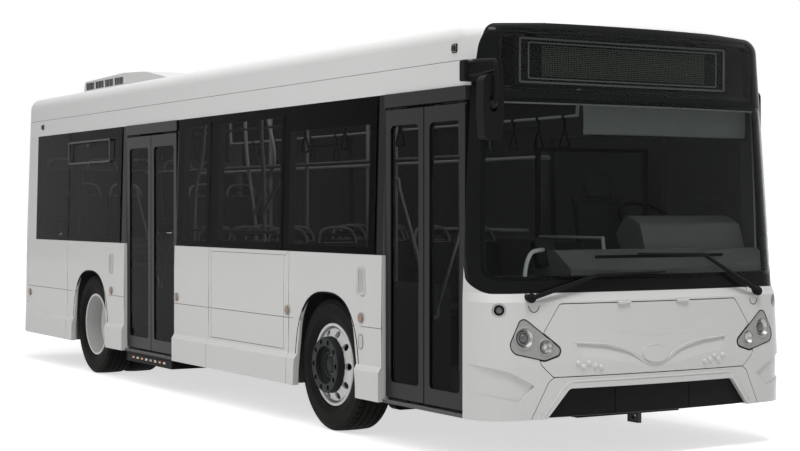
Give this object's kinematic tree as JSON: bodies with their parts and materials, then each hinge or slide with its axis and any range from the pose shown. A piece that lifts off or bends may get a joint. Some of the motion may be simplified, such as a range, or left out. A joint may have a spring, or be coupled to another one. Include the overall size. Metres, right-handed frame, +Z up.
{
  "type": "city bus",
  "caption": "Low-floor midi city bus with hollow glazed saloon, gliding double doors, steered front wheels, twin rear wheels, ramp and lids.",
  "frame": {"origin": "on the ground under the middle of the body", "axes": "+Z up, +Y towards the rear, so the bus faces -Y; -X is the near side with the doors"},
  "size_m": [2.7368, 9.4638, 3.01],
  "materials": {
    "white_paint": "gloss coach paint",
    "tinted_glass": "tinted safety glass",
    "clear_glass": "laminated glass",
    "black_frame": "black gloss",
    "red_lens": "moulded lens",
    "amber_lens": "moulded lens",
    "lamp_grey": "silver grey lamp housing",
    "black_plastic": "grained black",
    "floor_vinyl": "speckled vinyl",
    "chassis_paint": "satin chassis paint",
    "cast_iron": "as cast, painted",
    "rail_grey": "powder coat",
    "seat_grey": "moulded shell",
    "ramp_alloy": "tread plate",
    "tyre": "moulded rubber",
    "rim_silver": "silver wheel paint",
    "door_black": "satin black"
  },
  "bodies": {
    "coach": {"near_side_panels": "white_paint", "off_side_panels": "white_paint", "body_glazing": "tinted_glass", "rear_window": "tinted_glass", "window_pillars": "black_frame", "roof_panels": "white_paint", "rear_body": "white_paint", "tail_lamps": "red_lens", "rear_bumper": "white_paint", "front_mask": "black_frame", "windscreen": "clear_glass", "destination_sign": "black_plastic", "front_corners": "white_paint", "bumper": "white_paint", "lower_panels": "black_plastic", "headlamps": "lamp_grey", "floor_deck": "floor_vinyl", "wheel_housings": "floor_vinyl", "underframe": "chassis_paint", "front_axle_beam": "chassis_paint", "rear_axle": "chassis_paint", "engine_block": "cast_iron", "door_headers": "black_frame", "ramp_cassette": "black_plastic", "roof_unit": "white_paint", "side_lamps": "amber_lens", "mirrors": "black_plastic", "wipers": "black_plastic", "dashboard": "black_plastic", "steering_wheel": "black_plastic", "passenger_seats": "seat_grey", "driver_seat": "seat_grey", "driver_partition": "black_plastic", "grab_rails": "rail_grey", "tow_eyes": "cast_iron"},
    "front_lid": {"front_flap": "white_paint"},
    "rear_lid": {"engine_hatch": "white_paint"},
    "ramp": {"ramp_plate": "ramp_alloy"},
    "knuckle_near": {"knuckle_near": "chassis_paint"},
    "front_wheel_near": {"front_tyre_near": "tyre", "front_rim_near": "rim_silver"},
    "rear_wheels_near": {"rear_tyres_near": "tyre", "rear_rims_near": "rim_silver"},
    "knuckle_off": {"knuckle_off": "chassis_paint"},
    "front_wheel_off": {"front_tyre_off": "tyre", "front_rim_off": "rim_silver"},
    "rear_wheels_off": {"rear_tyres_off": "tyre", "rear_rims_off": "rim_silver"},
    "front_door_fore_arm": {"front_door_fore_arm": "chassis_paint"},
    "front_door_fore": {"front_door_fore_leaf": "door_black", "front_door_fore_pane": "tinted_glass"},
    "front_door_aft_arm": {"front_door_aft_arm": "chassis_paint"},
    "front_door_aft": {"front_door_aft_leaf": "door_black", "front_door_aft_pane": "tinted_glass"},
    "rear_door_fore_arm": {"rear_door_fore_arm": "chassis_paint"},
    "rear_door_fore": {"rear_door_fore_leaf": "door_black", "rear_door_fore_pane": "tinted_glass"},
    "rear_door_aft_arm": {"rear_door_aft_arm": "chassis_paint"},
    "rear_door_aft": {"rear_door_aft_leaf": "door_black", "rear_door_aft_pane": "tinted_glass"}
  },
  "joints": [
    {"name": "steer_near", "type": "hinge", "parent": "coach", "child": "knuckle_near", "pos_m": [-0.93, -2.53, 0.479], "axis": [0, 0, 1], "range_deg": [-40, 40]},
    {"name": "front_wheel_near_roll", "type": "hinge", "parent": "knuckle_near", "child": "front_wheel_near", "pos_m": [-1.075, -2.53, 0.479], "axis": [1, 0, 0], "continuous": true},
    {"name": "rear_wheels_near_roll", "type": "hinge", "parent": "coach", "child": "rear_wheels_near", "pos_m": [-0.93, 2.4, 0.479], "axis": [1, 0, 0], "continuous": true},
    {"name": "steer_off", "type": "hinge", "parent": "coach", "child": "knuckle_off", "pos_m": [0.93, -2.53, 0.479], "axis": [0, 0, 1], "range_deg": [-40, 40]},
    {"name": "front_wheel_off_roll", "type": "hinge", "parent": "knuckle_off", "child": "front_wheel_off", "pos_m": [1.075, -2.53, 0.479], "axis": [1, 0, 0], "continuous": true},
    {"name": "rear_wheels_off_roll", "type": "hinge", "parent": "coach", "child": "rear_wheels_off", "pos_m": [0.93, 2.4, 0.479], "axis": [1, 0, 0], "continuous": true},
    {"name": "front_lid_lift", "type": "hinge", "parent": "coach", "child": "front_lid", "pos_m": [0, -4.687, 1.005], "axis": [-1, 0, 0], "range_deg": [0, 70]},
    {"name": "rear_lid_lift", "type": "hinge", "parent": "coach", "child": "rear_lid", "pos_m": [0, 4.641, 1.333], "axis": [1, 0, 0], "range_deg": [0, 75]},
    {"name": "ramp_slide", "type": "slide", "parent": "coach", "child": "ramp", "axis": [-1, 0, 0], "range_m": [0, 0.6]},
    {"name": "front_door_open", "type": "hinge", "parent": "coach", "child": "front_door_fore_arm", "pos_m": [-1.203, -4.315, 1.3], "axis": [0, 0, -1], "range_deg": [0, 88]},
    {"name": "front_door_fore_leaf_turn", "type": "hinge", "parent": "front_door_fore_arm", "child": "front_door_fore", "pos_m": [-1.203, -4.083, 1.3], "axis": [0, 0, 1], "range_deg": [0, 176]},
    {"name": "front_door_aft_arm_turn", "type": "hinge", "parent": "coach", "child": "front_door_aft_arm", "pos_m": [-1.203, -3.375, 1.3], "axis": [0, 0, 1], "range_deg": [0, 88]},
    {"name": "front_door_aft_leaf_turn", "type": "hinge", "parent": "front_door_aft_arm", "child": "front_door_aft", "pos_m": [-1.203, -3.607, 1.3], "axis": [0, 0, -1], "range_deg": [0, 176]},
    {"name": "rear_door_open", "type": "hinge", "parent": "coach", "child": "rear_door_fore_arm", "pos_m": [-1.203, 0.325, 1.3], "axis": [0, 0, -1], "range_deg": [0, 88]},
    {"name": "rear_door_fore_leaf_turn", "type": "hinge", "parent": "rear_door_fore_arm", "child": "rear_door_fore", "pos_m": [-1.203, 0.602, 1.3], "axis": [0, 0, 1], "range_deg": [0, 176]},
    {"name": "rear_door_aft_arm_turn", "type": "hinge", "parent": "coach", "child": "rear_door_aft_arm", "pos_m": [-1.203, 1.445, 1.3], "axis": [0, 0, 1], "range_deg": [0, 88]},
    {"name": "rear_door_aft_leaf_turn", "type": "hinge", "parent": "rear_door_aft_arm", "child": "rear_door_aft", "pos_m": [-1.203, 1.168, 1.3], "axis": [0, 0, -1], "range_deg": [0, 176]}
  ],
  "couplings": [
    {"joint": "steer_off", "follows": "steer_near", "ratio": 1},
    {"joint": "front_door_fore_leaf_turn", "follows": "front_door_open", "ratio": 2},
    {"joint": "front_door_aft_leaf_turn", "follows": "front_door_open", "ratio": 2},
    {"joint": "front_door_aft_arm_turn", "follows": "front_door_open", "ratio": 1},
    {"joint": "rear_door_fore_leaf_turn", "follows": "rear_door_open", "ratio": 2},
    {"joint": "rear_door_aft_leaf_turn", "follows": "rear_door_open", "ratio": 2},
    {"joint": "rear_door_aft_arm_turn", "follows": "rear_door_open", "ratio": 1}
  ]
}
